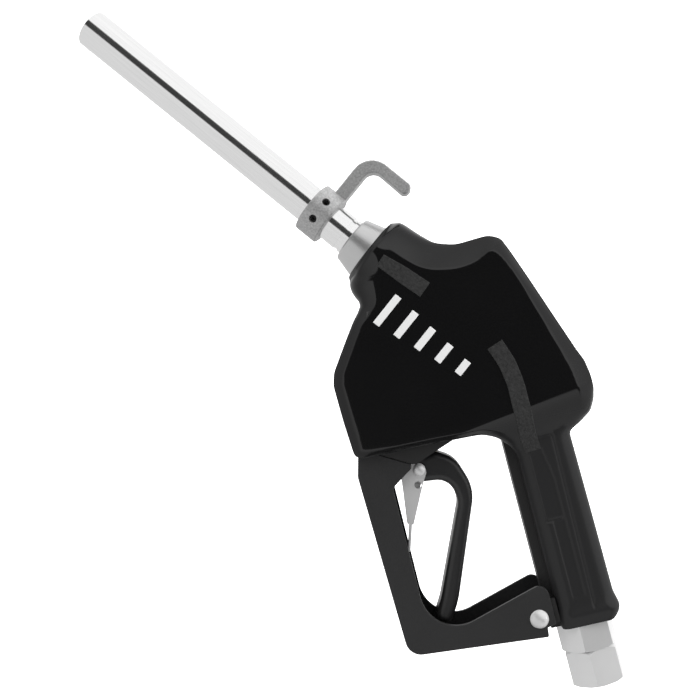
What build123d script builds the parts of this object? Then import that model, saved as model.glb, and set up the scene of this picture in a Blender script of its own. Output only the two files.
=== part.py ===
from build123d import *
import math
import os

os.makedirs("parts", exist_ok=True)

# Spout line: front centre of the adapter, and the unit directions along and across the spout.
SPOUT_X, SPOUT_Z = -79.1, 300.7
SPOUT_LEAN = 36.3
SPOUT_R, SPOUT_BORE, SPOUT_LENGTH = 12.0, 10.6, 214.3
SPOUT_INSERT, SEAT_R, SEAT_T = 28.0, 11.8, 35.5
SENSE_HOLE_R, SENSE_HOLE_T, VENT_END = 1.5, 205.8, 209.8
RING_GROOVE_T, RING_GROOVE_W, RING_GROOVE_R = 2.9, 2.5, 11.2

ADAPTER_TIP_R, ADAPTER_BASE_R, ADAPTER_CONE = 15.1, 18.7, 14.0
TIP_BEVEL = 0.8
SHANK_R, SHANK_END = 15.0, 54.0
CHECK_SEAT_T, CHECK_PORT_R, CHECK_R = 46.0, 9.0, 10.6
GUIDE_T, GUIDE_W = 28.0, 3.0
SEAL_W, SEAL_R = 2.4, 13.4
SEAL_TS = (16.0, 38.0)
VENT_R, VENT_BORE, VENT_OFFSET = 2.4, 1.5, 8.2
VENT_PORT_T = 24.0

COLLAR_T, COLLAR_W, COLLAR_R = 17.0, 15.5, 16.5
HOOK_T0, HOOK_T1, HOOK_END = 17.6, 25.9, -9.8
HOOK_OUT, HOOK_IN, HOOK_HALF, HOOK_TIP_R = 48.6, 40.7, 5.5, 3.6
SET_SCREW_R, SET_SCREW_T, SET_SCREW_ANGLE, SET_SCREW_DEPTH = 2.5, 24.7, 23.5, 2.6

# Body: the outline of the cover in the side view, and half widths.
COVER_WALL = 2.5
BODY_HALF, GRIP_HALF, NOSE_R = 29.5, 17.5, 26.5
BODY_OUTLINE = [
    (-70.0, 262.0, 0), (-48.4, 282.0, 0), (-26.5, 279.2, 0), (5.6, 279.6, 9.0),
    (39.6, 186.0, 26.0), (36.0, 161.0, 9.0), (19.6, 153.0, 0), (-16.0, 149.0, 0),
    (-27.5, 163.5, 10.0), (-48.0, 166.6, 20.0), (-108.6, 168.4, 0), (-111.9, 219.0, 9.0),
    (-84.6, 258.0, 0),
]
GRIP_FRONT, GRIP_BACK, GRIP_CORNER = -14.8, 20.1, 9.0
GRIP_BASE, GRIP_TOP = 38.0, 172.0
LIP_FLARE, LIP_HEIGHT = 2.3, 11.0
SLOPE_DROP, SLOPE_LINE = 20.5, ((-24.0, 171.4), (28.0, 178.1))

# Main valve line, leaning towards the grip.
VALVE_X, VALVE_Z, VALVE_LEAN = -63.5, 160.5, 25.0
GLAND_D0, GLAND_D1, GLAND_R = 9.0, 22.0, 7.0
STEM_R, RUN_CLEAR = 3.0, 0.05
LOWER_D0, LOWER_R = 24.0, 12.0
SEAT_D, SEAT_W, SEAT_BORE = 43.0, 5.0, 9.5
UPPER_R, UPPER_D1 = 14.5, 98.0
POPPET_R, POPPET_T = 12.0, 5.0
PASSAGE_R = 9.0
CAP_R, CAP_TOP, CAP_POCKET = 14.5, 128.0, 10.0
SPRING_WIRE = 0.9
MAIN_SPRING_R, MAIN_SPRING_TURNS = 7.0, 9

# Latch line, leaning away from the grip.
PIVOT_X, PIVOT_Z, LATCH_LEAN = -74.6, 152.0, 14.0
PIN_R, EYE_R, TONGUE_HALF = 3.0, 6.0, 6.9
PLUNGER_R, PLUNGER_TOP = 5.0, 56.0
BUSH_R, BUSH_D0, BUSH_D1 = 7.5, 18.0, 30.0
LATCH_BORE, DIAPHRAGM_R = 8.5, 14.0
DIAPHRAGM_D, DIAPHRAGM_T = 63.0, 1.6
LATCH_CAP_TOP = 84.0

# Cored pockets in the two flat sides of the casting, under the cover.
POCKET_WEB = 4.0
POCKETS = [
    [(-14.0, 201.0), (24.0, 195.0), (5.5, 260.0), (-15.5, 208.0)],
    [(-70.0, 192.0), (-64.5, 192.0), (-49.0, 231.0), (-60.0, 240.0), (-70.5, 237.0)],
]

# Grip, inlet and swivel about the vertical hose line.
INLET_BORE, INLET_THREAD_R, INLET_THREAD = 9.0, 12.0, 18.0
HEX_FLATS, ADAPTER_FLATS, NUT_TOP = 30.0, 31.0, 21.6
HEX_TURN = 12.0
HOSE_R, HOSE_DEPTH, SPIGOT_R = 12.1, 11.0, 9.0
WASHER_R, WASHER_T = 12.4, 2.4
RIB_HALF, RIB_FRONT, RIB_TOP = 6.0, -20.7, 157.0
LUG_HALF = 15.0

# Guard, lever and clip.
GUARD_HALF, GUARD_FLANGE = 17.5, 2.5
GUARD_RIVET_X, GUARD_RIVET_Z, GUARD_HEAD_R = -27.2, 48.4, 5.6
CHEEK_HALF, FORK_HALF, LEVER_ROUND = 11.0, 7.0, 3.8
EAR_IN, EAR_OUT = 12.8, 17.5
CLIP_IN, CLIP_T = 11.2, 1.2


def leaning(x, z, lean):
    """Plane at (x, 0, z) whose normal is +Z leant by the angle towards +X and whose y stays +Y."""
    a = math.radians(lean)
    return Plane(origin=(x, 0, z), x_dir=(math.cos(a), 0, -math.sin(a)), z_dir=(math.sin(a), 0, math.cos(a)))


SPOUT = leaning(SPOUT_X, SPOUT_Z, -SPOUT_LEAN)
VALVE = leaning(VALVE_X, VALVE_Z, VALVE_LEAN)
LATCH = leaning(PIVOT_X, PIVOT_Z, -LATCH_LEAN)
HOSE = Plane.XY


def rod(line, start, end, radius):
    """Solid cylinder on a line, from one distance to another."""
    solid = Solid.make_cylinder(radius, end - start, Plane.XY.offset(start))
    return line.location * solid


def tube(line, start, end, radius, bore):
    """Cylinder with a through bore on a line."""
    return rod(line, start, end, radius) - rod(line, start - 1, end + 1, bore)


def cone(line, start, end, radius0, radius1):
    """Solid frustum on a line."""
    solid = Solid.make_cone(radius0, radius1, end - start, Plane.XY.offset(start))
    return line.location * solid


def outline(points):
    """Closed outline with its own rounding at each corner, as a face in the side view."""
    corners = [Vector(x, z) for x, z, _ in points]
    edges = FilletPolyline(*corners, radius=[r for _, _, r in points], close=True)
    return make_face(edges.edges())


def slab(face, y0, y1):
    """Side-view face drawn as (x, z), made solid from y0 to y1."""
    side = Plane(origin=(0, y0, 0), x_dir=(1, 0, 0), z_dir=(0, -1, 0))
    return side.location * extrude(face, -(y1 - y0))


def plain(points):
    """Straight-sided outline."""
    return make_face(Polyline(*points, close=True).edges())


def box(x0, x1, y0, y1, z0, z1):
    """Block between six planes."""
    return Pos((x0 + x1) / 2, (y0 + y1) / 2, (z0 + z1) / 2) * Box(x1 - x0, y1 - y0, z1 - z0)


def coil(line, start, end, radius, wire, turns):
    """Round-wire compression spring between two distances."""
    low, high = start + wire, end - wire
    path = Helix(pitch=(high - low) / turns, height=high - low, radius=radius)
    profile = Plane(origin=path @ 0, z_dir=path % 0) * Circle(wire)
    return line.location * (Pos(0, 0, low) * sweep(profile, path=path))


def body_form(inset):
    """Body, nose and grip, each shrunk by the inset."""
    face = outline(BODY_OUTLINE)
    if inset:
        face = offset(face, amount=-inset, kind=Kind.INTERSECTION)
    half = BODY_HALF - inset
    body = slab(face, -half, half)
    body = chamfer_sides(body, half, 6.0)
    for side in (1, -1):
        body -= grip_slope(side, inset)
        body -= top_slope(side, inset)
    nose = rod(SPOUT, -62.0, -19.0, NOSE_R - inset)
    nose += cone(SPOUT, -19.0, -14.0, NOSE_R - inset, ADAPTER_BASE_R + 1.5)
    width = GRIP_BACK - GRIP_FRONT - 2 * inset
    middle = (GRIP_BACK + GRIP_FRONT) / 2
    section = RectangleRounded(width, 2 * (GRIP_HALF - inset), GRIP_CORNER - inset)
    grip = Pos(middle, 0, GRIP_BASE) * extrude(section, GRIP_TOP - GRIP_BASE)
    return body + nose + grip


def chamfer_sides(body, half, size):
    """Bevels round the two flat sides of a slab."""
    level = [e for e in body.edges() if abs((e @ 0).Y - (e @ 1).Y) < 1e-3]
    rims = [e for e in level if abs(abs(e.center().Y) - half) < 1e-3]
    return chamfer(rims, size, size * 0.8)


def grip_slope(side, inset):
    """Wedge that brings the wide body down to the grip width."""
    (x0, z0), (x1, z1) = SLOPE_LINE
    run = Vector(x1 - x0, 0, z1 - z0)
    along = Plane(origin=(x0, 0, z0), x_dir=(0, side, 0), z_dir=run)
    wide, thin = BODY_HALF - inset, GRIP_HALF - inset
    sign = 1 if along.y_dir.Z > 0 else -1
    drop = SLOPE_DROP * sign
    section = plain([(wide, 0), (thin, -drop), (thin, -3 * drop), (2 * wide, -3 * drop), (2 * wide, 0)])
    return along.location * (Pos(0, 0, -90) * extrude(section, 190))


def top_slope(side, inset):
    """Broad bevel along the top of the body."""
    across = Plane(origin=(0, 0, 0), x_dir=(0, side, 0), z_dir=(1, 0, 0))
    high = across.to_local_coords(Vector(0, 0, 1)).Y
    z0, z1 = 265.0 - inset, 282.0 - inset
    wide, thin = BODY_HALF - inset, 17.0 - inset
    low, top, over = z0 * high, z1 * high, 320 * high
    section = plain([(wide, low), (thin, top), (thin, over), (60, over), (60, low)])
    return across.location * (Pos(0, 0, -60) * extrude(section, 110))


def ears():
    """Two pointed walls of the casting either side of the lever's fork, flush with the guard."""
    face = plain([
        (-95.8, 175.0), (-95.8, 167.4), (-78.1, 157.1), (-77.4, 156.6), (-73.5, 156.5), (-67.7, 158.9),
        (-47.8, 165.7), (-44.5, 175.0),
    ])
    return [slab(face, EAR_IN, EAR_OUT), slab(face, -EAR_OUT, -EAR_IN)]


def front_rib():
    """Rib and lug on the lever side of the grip, up against the guard."""
    rib = box(RIB_FRONT, -11.0, -RIB_HALF, RIB_HALF, GRIP_BASE, RIB_TOP)
    face = outline([
        (-33.5, 43.0, 3), (-33.5, 53.0, 5), (-24.0, 58.0, 3), (-15.0, 58.0, 0.5), (-15.0, 43.0, 0.5),
    ])
    return rib + slab(face, -LUG_HALF, LUG_HALF)


def body_casting():
    """Cast body: outer form, ears, rib and lug, less every bore and passage."""
    solid = body_form(COVER_WALL)
    for ear in ears():
        solid += ear
    solid += front_rib()
    solid += rod(VALVE, 12.0, 30.0, GLAND_R + 2.5) & box(-80, -30, -30, 30, 165.0, 200)
    solid -= rod(SPOUT, -SHANK_END, 10.0, SHANK_R)
    solid -= rod(SPOUT, -ADAPTER_CONE, 40.0, ADAPTER_BASE_R)
    solid -= rod(SPOUT, -86.0, -SHANK_END + 1, PASSAGE_R)
    solid -= rod(VALVE, -10.0, GLAND_D1, GLAND_R)
    solid -= rod(VALVE, GLAND_D1 - 1, LOWER_D0 + 1, STEM_R + 1)
    solid -= rod(VALVE, LOWER_D0, SEAT_D, LOWER_R)
    solid -= rod(VALVE, SEAT_D, CAP_TOP + 30, UPPER_R)
    solid -= inlet_passage()
    solid -= rod(LATCH, -5.0, BUSH_D1, BUSH_R)
    solid -= rod(LATCH, BUSH_D1 - 1, DIAPHRAGM_D - 5, LATCH_BORE)
    solid -= rod(LATCH, DIAPHRAGM_D - 5, LATCH_CAP_TOP + 20, DIAPHRAGM_R)
    solid -= vent_gallery()
    solid -= rod(HOSE, GRIP_BASE - 1, GRIP_BASE + INLET_THREAD, INLET_THREAD_R)
    solid -= guard_tab()
    solid -= lever_well()
    solid -= rivet_hole()
    for points in POCKETS:
        solid -= slab(plain(points), POCKET_WEB, BODY_HALF)
        solid -= slab(plain(points), -BODY_HALF, -POCKET_WEB)
    return solid


def lever_well():
    """Pocket under the casting for the lever's fork and the plunger's eye."""
    return box(-92.0, -44.0, -EAR_IN, EAR_IN, 140.0, 169.0)


def inlet_passage():
    """Bore up the grip and across to the chamber under the valve."""
    up = rod(HOSE, GRIP_BASE + 5, 176.0, INLET_BORE)
    start, end = Vector(0, 0, 174.0), Vector(-44.0, 0, 188.0)
    across = Plane(origin=start, z_dir=end - start)
    elbow = Pos(0, 0, 175) * Sphere(INLET_BORE)
    return up + elbow + rod(across, -2.0, (end - start).length, INLET_BORE - 0.5)


def vent_gallery():
    """Drilling from the spout socket to the diaphragm chamber."""
    start, end = Vector(-71.5, 0, 266.0), Vector(-88.0, 0, 228.0)
    return rod(Plane(origin=start, z_dir=end - start), 0, (end - start).length, VENT_BORE)


def guard_tab():
    """Tongue on the guard that enters the casting."""
    return box(-104.5, -101.0, -10, 10, 168.0, 178.0)


def rivet_hole():
    """Hole for the guard rivet."""
    line = Plane(origin=(GUARD_RIVET_X, 0, GUARD_RIVET_Z), z_dir=(0, 1, 0))
    return rod(line, -40, 40, PIN_R)


def body_cover():
    """Soft cover: a shell over the casting, open at nose, lever bay, front slot and foot."""
    solid = body_form(0) + lip_flare() - body_form(COVER_WALL)
    solid -= rod(SPOUT, -30.0, 20.0, ADAPTER_BASE_R)
    solid -= box(-107.0, -41.0, -GUARD_HALF, GUARD_HALF, 150.0, 172.0)
    solid -= front_rib()
    solid -= box(-40, 0, -RIB_HALF, RIB_HALF, GRIP_BASE, RIB_TOP)
    return solid


def lip_flare():
    """Rolled lip round the foot of the grip cover."""
    width, depth = GRIP_BACK - GRIP_FRONT, 2 * GRIP_HALF
    middle = (GRIP_BACK + GRIP_FRONT) / 2
    section = RectangleRounded(width + 2 * LIP_FLARE - 2, depth + LIP_FLARE, GRIP_CORNER)
    lip = extrude(section, LIP_HEIGHT)
    lip = chamfer(lip.faces().sort_by(Axis.Z)[-1].edges(), 5.0, 1.0)
    lip = chamfer(lip.faces().sort_by(Axis.Z)[0].edges(), 3.0, 1.0)
    return Pos(middle + 1.0, 0, GRIP_BASE) * lip - box(-60, GRIP_FRONT, -40, 40, 20, 60)


def spout_tube():
    """Straight outlet spout with a turned ring groove and a sensing hole."""
    solid = tube(SPOUT, SEAT_T, SPOUT_LENGTH, SPOUT_R, SPOUT_BORE)
    solid = chamfer(solid.edges().filter_by(GeomType.CIRCLE).sort_by(Axis.Z)[-2:], 0.5)
    solid += tube(SPOUT, -SPOUT_INSERT, SEAT_T, SEAT_R, SPOUT_BORE)
    solid -= tube(SPOUT, RING_GROOVE_T, RING_GROOVE_T + RING_GROOVE_W, SPOUT_R + 1, RING_GROOVE_R)
    solid -= vent_branch(SENSE_HOLE_T, SENSE_HOLE_R)
    return solid - vent_branch(-VENT_PORT_T, VENT_BORE)


def vent_branch(t, radius):
    """Radial hole on the underside of the spout at a distance along it."""
    origin = SPOUT.origin + SPOUT.z_dir * t - SPOUT.x_dir * (VENT_OFFSET + 1.0)
    return rod(Plane(origin=origin, z_dir=SPOUT.x_dir * -1), 0, 8, radius)


def vent_tube():
    """Small tube inside the spout that carries the sensing air."""
    line = Plane(origin=SPOUT.origin - SPOUT.x_dir * VENT_OFFSET, x_dir=SPOUT.x_dir, z_dir=SPOUT.z_dir)
    solid = rod(line, -27.5, VENT_END, VENT_R) - rod(line, -26.0, VENT_END - 1.5, VENT_BORE)
    solid -= vent_branch(SENSE_HOLE_T, SENSE_HOLE_R) + vent_branch(-VENT_PORT_T, VENT_BORE)
    return solid


def spout_adapter():
    """Tapered adapter with the check seat at its inner end."""
    solid = cone(SPOUT, -ADAPTER_CONE, -TIP_BEVEL, ADAPTER_BASE_R, ADAPTER_TIP_R)
    solid += cone(SPOUT, -TIP_BEVEL, 0.0, ADAPTER_TIP_R, ADAPTER_TIP_R - TIP_BEVEL)
    solid += rod(SPOUT, -SHANK_END, -ADAPTER_CONE, SHANK_R)
    solid -= rod(SPOUT, -SPOUT_INSERT, 5.0, SEAT_R)
    solid -= rod(SPOUT, -CHECK_SEAT_T, 5.0, SEAT_R - 0.2)
    solid -= rod(SPOUT, -SHANK_END - 1, 5.0, CHECK_PORT_R)
    solid -= rod(SPOUT, -GUIDE_T - GUIDE_W, -GUIDE_T, SEAT_R)
    for t in SEAL_TS:
        solid -= tube(SPOUT, -t - SEAL_W, -t, SHANK_R + 1, SEAL_R)
    solid -= tube(SPOUT, -32.0, -21.0, SHANK_R + 1, SHANK_R - 1)
    return solid - vent_branch(-VENT_PORT_T, VENT_BORE)


def spout_seals():
    """Two equal rings between adapter and casting."""
    rings = [tube(SPOUT, -t - SEAL_W, -t, SHANK_R, SEAL_R) for t in SEAL_TS]
    return Compound(children=rings)


def check_guide():
    """Spider that guides the check poppet and holds its spring."""
    solid = tube(SPOUT, -GUIDE_T - GUIDE_W, -GUIDE_T, SEAT_R, CHECK_PORT_R + 0.6)
    for angle in (0, 120, 240):
        arm = Pos(6.0, 0, -GUIDE_T - GUIDE_W / 2) * Box(9.0, 2.0, GUIDE_W)
        solid += SPOUT.location * (Rot(0, 0, angle) * arm)
    solid += rod(SPOUT, -GUIDE_T - GUIDE_W, -GUIDE_T, 3.5)
    return solid - rod(SPOUT, -GUIDE_T - GUIDE_W - 1, -GUIDE_T + 1, 1.5 + RUN_CLEAR)


def check_poppet():
    """Disc and stem that shut the spout when no fuel flows."""
    head = rod(SPOUT, -CHECK_SEAT_T, -CHECK_SEAT_T + 3.0, CHECK_R)
    return head + rod(SPOUT, -CHECK_SEAT_T + 1, -GUIDE_T + 3.0, 1.5)


def hook_collar():
    """Clamp ring on the spout with the hanging hook cast on."""
    ring = rod(SPOUT, COLLAR_T, COLLAR_T + COLLAR_W, COLLAR_R)
    ring = fillet(ring.edges().filter_by(GeomType.CIRCLE), 1.0)
    face = outline([
        (13.0, HOOK_T0, 0), (HOOK_OUT - 7.0, HOOK_T0, 7.0), (HOOK_IN, HOOK_END, HOOK_TIP_R),
        (HOOK_OUT, HOOK_END, HOOK_TIP_R), (HOOK_OUT, HOOK_T1, 14.0), (13.0, HOOK_T1, 0),
    ])
    side = Plane(origin=SPOUT.origin, x_dir=SPOUT.x_dir, z_dir=(0, -1, 0))
    hook = side.location * extrude(face, HOOK_HALF, both=True)
    rims = [e for e in hook.edges() if abs(abs(e.center().Y) - HOOK_HALF) < 1e-3]
    hook = chamfer(rims, 0.8)
    solid = ring + hook
    solid -= rod(SPOUT, 0, 60, SEAT_R)
    for screw in screw_lines():
        solid -= rod(screw, 0, 30, SET_SCREW_R)
    return solid


def screw_lines():
    """Radial lines of the two set screws."""
    lines = []
    for angle in (SET_SCREW_ANGLE, -SET_SCREW_ANGLE):
        a = math.radians(angle)
        out = SPOUT.x_dir * math.sin(a) + Vector(0, -math.cos(a), 0)
        lines.append(Plane(origin=SPOUT.origin + SPOUT.z_dir * SET_SCREW_T, z_dir=out))
    return lines


def set_screws():
    """Two socket set screws."""
    screws = []
    for line in screw_lines():
        outer = COLLAR_R - SET_SCREW_DEPTH
        screw = rod(line, SEAT_R - 1, outer, SET_SCREW_R) - rod(SPOUT, 0, 60, SEAT_R)
        socket = line.location * (Pos(0, 0, outer - 1.4) * extrude(RegularPolygon(1.4, 6), 4))
        screws.append(screw - socket)
    return Compound(children=[s.solids()[0] for s in screws])


def seat_ring():
    """Seat for the main poppet."""
    return tube(VALVE, SEAT_D, SEAT_D + SEAT_W, UPPER_R, SEAT_BORE)


def main_poppet():
    """Poppet with guide wings and the stem the lever lifts."""
    top = SEAT_D + SEAT_W
    solid = rod(VALVE, top + 2.0, top + POPPET_T + 2.0, POPPET_R)
    solid += rod(VALVE, top, top + 3.0, SEAT_BORE - 2.5)
    solid += rod(VALVE, top + POPPET_T, top + POPPET_T + 12.0, 4.5)
    solid += rod(VALVE, 2.0, top + 1.0, STEM_R)
    solid += cone(VALVE, 0.0, 2.0, 1.6, STEM_R)
    return solid - tube(VALVE, top, top + 2.0, 30, SEAT_BORE - 2.5)


def poppet_seal():
    """Flat seal under the poppet."""
    top = SEAT_D + SEAT_W
    return tube(VALVE, top, top + 2.0, POPPET_R - 0.3, SEAT_BORE - 2.5)


def valve_cap():
    """Screwed cap over the valve chamber, flush with the casting under the cover."""
    solid = rod(VALVE, UPPER_D1, CAP_TOP, CAP_R) & body_form(COVER_WALL)
    solid -= rod(VALVE, UPPER_D1 - 1, UPPER_D1 + CAP_POCKET, 8.8)
    return solid - tube(VALVE, UPPER_D1 + 4, UPPER_D1 + 4 + SEAL_W, CAP_R + 1, CAP_R - 1.6)


def cap_seal():
    """Ring in the groove of the valve cap."""
    return tube(VALVE, UPPER_D1 + 4, UPPER_D1 + 4 + SEAL_W, CAP_R, CAP_R - 1.6)


def stem_gland():
    """Brass gland the valve stem runs in."""
    return tube(VALVE, GLAND_D0, GLAND_D1, GLAND_R, STEM_R + RUN_CLEAR)


def latch_plunger():
    """Plunger that carries the lever pivot and drops when the latch lets go."""
    solid = rod(LATCH, EYE_R - 1, PLUNGER_TOP, PLUNGER_R)
    eye = rod(Plane(origin=LATCH.origin, z_dir=(0, 1, 0)), -TONGUE_HALF, TONGUE_HALF, EYE_R)
    neck = LATCH.location * (Pos(0, 0, 6.0) * Box(2 * EYE_R - 2, 2 * PLUNGER_R, 12.0))
    solid += eye + neck
    solid -= rod(pivot_line(), -20, 20, PIN_R)
    solid -= tube(LATCH, 49.0, 52.0, PLUNGER_R + 1, PLUNGER_R - 1.2)
    solid -= rod(LATCH, 38.0, PLUNGER_TOP + 1, 2.2)
    return solid + tube(LATCH, 44.0, 45.5, 7.6, 4.0)


def plunger_bush():
    """Bush in the foot of the casting that guides the plunger."""
    return tube(LATCH, BUSH_D0, BUSH_D1, BUSH_R, PLUNGER_R + RUN_CLEAR)


def pivot_line():
    """Line of the lever pivot."""
    return Plane(origin=LATCH.origin, z_dir=(0, 1, 0))


def diaphragm():
    """Rubber disc clamped at its rim, with a hole for the latch pin."""
    return tube(LATCH, DIAPHRAGM_D, DIAPHRAGM_D + DIAPHRAGM_T, DIAPHRAGM_R, 2.0)


def latch_pin():
    """Pin the diaphragm lifts out of the plunger."""
    solid = rod(LATCH, 42.0, DIAPHRAGM_D + 3.6, 2.0)
    solid += rod(LATCH, DIAPHRAGM_D - 1.2, DIAPHRAGM_D, 7.5)
    return solid + rod(LATCH, DIAPHRAGM_D + DIAPHRAGM_T, DIAPHRAGM_D + DIAPHRAGM_T + 1.2, 7.5)


def diaphragm_cap():
    """Cap over the diaphragm, flush with the casting under the cover."""
    start = DIAPHRAGM_D + DIAPHRAGM_T
    solid = rod(LATCH, start, LATCH_CAP_TOP + 20, DIAPHRAGM_R) & body_form(COVER_WALL)
    return solid - rod(LATCH, start - 1, start + 11.0, 10.5)


def dome(line, start, height, radius):
    """Round rivet head standing on a face."""
    sphere_r = (radius ** 2 + height ** 2) / (2 * height)
    ball = line.location * (Pos(0, 0, start + height - sphere_r) * Sphere(sphere_r))
    return ball & rod(line, start, start + height + 1, radius)


def lever_guard():
    """Bent channel round the lever, open towards it."""
    outer = outline([
        (-107.0, 170.0, 0), (-107.0, 168.2, 0), (-108.7, 168.2, 0), (-111.7, 157.0, 8.0),
        (-108.4, 44.9, 9.5),
        (-24.2, 36.6, 1.0), (-23.6, 42.2, 0.5), (-18.0, 43.4, 1.0), (-17.9, 69.2, 6.0),
        (-93.3, 49.0, 22.0), (-92.6, 145.6, 5.0), (-79.1, 154.2, 1.0), (-78.4, 156.9, 0.6),
        (-96.0, 167.2, 1.0),
        (-96.0, 170.0, 0),
    ])
    inner = plain([
        (-104.6, 180.0), (-108.0, 156.5), (-105.4, 48.5), (-102.5, 47.2), (-24.0, 39.6), (-10.0, 39.0),
        (-10.0, 180.0),
    ])
    solid = slab(outer, -GUARD_HALF, GUARD_HALF)
    rims = [e for e in solid.edges() if abs(abs(e.center().Y) - GUARD_HALF) < 1e-3]
    solid = chamfer(rims, 0.4)
    reach = GUARD_HALF - GUARD_FLANGE
    solid -= slab(inner, -reach, reach)
    solid += box(-107.0, -101.0, -10, 10, 167.0, 170.0) + guard_tab()
    return solid - rivet_hole()


def guard_rivet():
    """Domed rivet through the guard and the casting's lug."""
    line = Plane(origin=(GUARD_RIVET_X, 0, GUARD_RIVET_Z), z_dir=(0, 1, 0))
    back = Plane(origin=(GUARD_RIVET_X, 0, GUARD_RIVET_Z), z_dir=(0, -1, 0))
    solid = rod(line, -GUARD_HALF, GUARD_HALF, PIN_R)
    return solid + dome(line, GUARD_HALF, 2.8, GUARD_HEAD_R) + dome(back, GUARD_HALF, 2.8, GUARD_HEAD_R)


def lever():
    """Curved trigger with a fork at the pivot."""
    face = outline([
        (-81.4, 152.5, 5.0), (-77.0, 160.0, 5.0), (-62.0, 160.0, 6.0), (-51.5, 153.4, 18.0),
        (-44.6, 132.5, 26.0), (-72.0, 66.6, 60.0), (-80.0, 55.6, 4.6), (-88.4, 60.5, 4.6),
        (-81.6, 71.5, 60.0), (-56.2, 127.0, 12.0), (-58.0, 141.6, 11.0), (-76.0, 144.0, 4.6),
    ])
    solid = slab(face, -CHEEK_HALF, CHEEK_HALF)
    rims = [e for e in solid.edges() if abs(abs(e.center().Y) - CHEEK_HALF) < 1e-3]
    solid = fillet(rims, LEVER_ROUND)
    solid -= box(-95, -66.0, -FORK_HALF, FORK_HALF, 138, 165)
    return solid - rod(pivot_line(), -20, 20, PIN_R + RUN_CLEAR)


def lever_pin():
    """Domed rivet that the lever and clip turn on."""
    reach = CLIP_IN + CLIP_T + 0.1
    solid = rod(pivot_line(), -reach, reach, PIN_R)
    back = Plane(origin=LATCH.origin, z_dir=(0, -1, 0))
    return solid + dome(pivot_line(), reach, 2.0, 3.9) + dome(back, reach, 2.0, 3.9)


def hold_open_clip():
    """Folded sheet clip with a bridge and a tail."""
    face = outline([
        (-78.5, 157.0, 3.0), (-86.3, 151.5, 3.0), (-87.0, 144.0, 2.0), (-89.9, 122.0, 1.5),
        (-86.4, 119.9, 1.5), (-74.2, 143.5, 4.0), (-69.0, 152.0, 4.0),
    ])
    plates = slab(face, -CLIP_IN - CLIP_T, CLIP_IN + CLIP_T) - slab(face, -CLIP_IN, CLIP_IN)
    bridge = plain([(-86.8, 142.5), (-89.4, 123.5), (-88.0, 123.3), (-85.5, 142.3)])
    tail = plain([(-88.4, 121.6), (-93.4, 105.3), (-92.2, 104.9), (-86.9, 121.2)])
    fold = slab(bridge + tail, -CLIP_IN - CLIP_T, CLIP_IN + CLIP_T)
    hole = rod(Plane(origin=(-77.6, 0, 143.1), z_dir=(0, 1, 0)), -20, 0, 2.2)
    return plates + fold - hole - rod(pivot_line(), -20, 20, PIN_R + RUN_CLEAR)


def hexagon(flats, turn):
    """Hexagon across flats, turned about the hose line."""
    return Rot(0, 0, turn) * RegularPolygon(flats / 2, 6, major_radius=False)


def inlet_adapter():
    """Fixed half of the swivel, screwed into the grip."""
    body = extrude(hexagon(ADAPTER_FLATS, HEX_TURN), GRIP_BASE - NUT_TOP)
    solid = Pos(0, 0, NUT_TOP) * body
    solid &= cone(HOSE, NUT_TOP, GRIP_BASE, 15.6, 15.6 + 2 * (GRIP_BASE - NUT_TOP))
    solid += rod(HOSE, GRIP_BASE - 1, GRIP_BASE + INLET_THREAD, INLET_THREAD_R)
    solid += rod(HOSE, 11.2, NUT_TOP + 1, SPIGOT_R)
    solid -= tube(HOSE, 12.2, 13.8, SPIGOT_R + 1, SPIGOT_R - 1.2)
    solid -= tube(HOSE, 16.6, 18.6, SPIGOT_R + 1, SPIGOT_R - 1.5)
    return solid - rod(HOSE, 0, 80, 6.6) - rod(HOSE, GRIP_BASE + 4, 80, 9.0)


def swivel_nut():
    """Free-turning hex nut with the hose thread."""
    body = extrude(hexagon(HEX_FLATS, HEX_TURN + 6), NUT_TOP - 0.1)
    solid = body & cone(HOSE, 0, 30, 15.4, 15.4 + 45) & cone(HOSE, -25, NUT_TOP - 0.1, 15.6 + 60, 15.4)
    solid -= rod(HOSE, -1, HOSE_DEPTH, HOSE_R)
    solid -= rod(HOSE, HOSE_DEPTH - WASHER_T, HOSE_DEPTH, WASHER_R)
    solid -= rod(HOSE, HOSE_DEPTH - 1, 14.2, 11.0)
    return solid - rod(HOSE, 10, 30, SPIGOT_R + 0.06)


def swivel_ring():
    """Split ring that keeps the nut on the spigot."""
    return tube(HOSE, 12.2, 13.8, 10.8, SPIGOT_R - 1.2) - box(0, 20, -1.2, 1.2, 10, 16)


def inlet_strainer():
    """Perforated cup in the inlet bore."""
    solid = tube(HOSE, GRIP_BASE + 4, GRIP_BASE + 6, 9.0, 7.6)
    solid += tube(HOSE, GRIP_BASE + 5, GRIP_BASE + 26, 8.2, 7.6)
    solid += rod(HOSE, GRIP_BASE + 25, GRIP_BASE + 26, 8.2)
    for z in (GRIP_BASE + 10, GRIP_BASE + 15, GRIP_BASE + 20):
        for turn in (0, 45, 90, 135):
            a = math.radians(turn)
            line = Plane(origin=(0, 0, z), z_dir=(math.cos(a), math.sin(a), 0))
            solid -= rod(line, -12, 12, 1.6)
    return solid


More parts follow.
